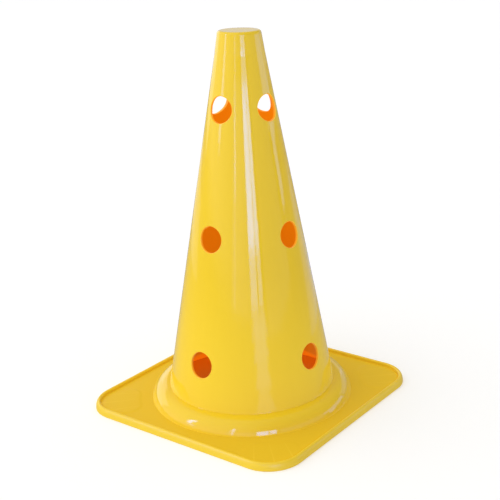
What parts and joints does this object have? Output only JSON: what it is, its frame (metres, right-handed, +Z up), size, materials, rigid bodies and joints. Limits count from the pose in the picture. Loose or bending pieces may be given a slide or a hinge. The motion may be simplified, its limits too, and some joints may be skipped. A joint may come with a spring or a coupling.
{
  "type": "sports marker cone",
  "caption": "Hollow plastic marker cone on a square rimmed base, with levels of round holes for hurdle poles.",
  "frame": {"origin": "on the ground under the middle of the square base", "axes": "+Z up the cone; the sides of the base face X and Y"},
  "size_m": [0.25, 0.25, 0.38],
  "materials": {
    "cone_plastic": "glossy moulded plastic, warm yellow, with faint upright streaks",
    "cap_plastic": "glossy flat top of the same yellow plastic",
    "ring_plastic": "glossy moulded plastic, warm yellow",
    "plate_plastic": "glossy moulded plastic, slightly more amber, with faint flow lines",
    "rim_plastic": "glossy rounded bead of the same plastic"
  },
  "bodies": {
    "root": {"cone_wall": "cone_plastic", "top_collar": "cone_plastic", "top_cap": "cap_plastic", "foot_ring": "ring_plastic", "base_plate": "plate_plastic", "edge_rim": "rim_plastic", "corner_ribs": "plate_plastic"}
  },
  "joints": []
}
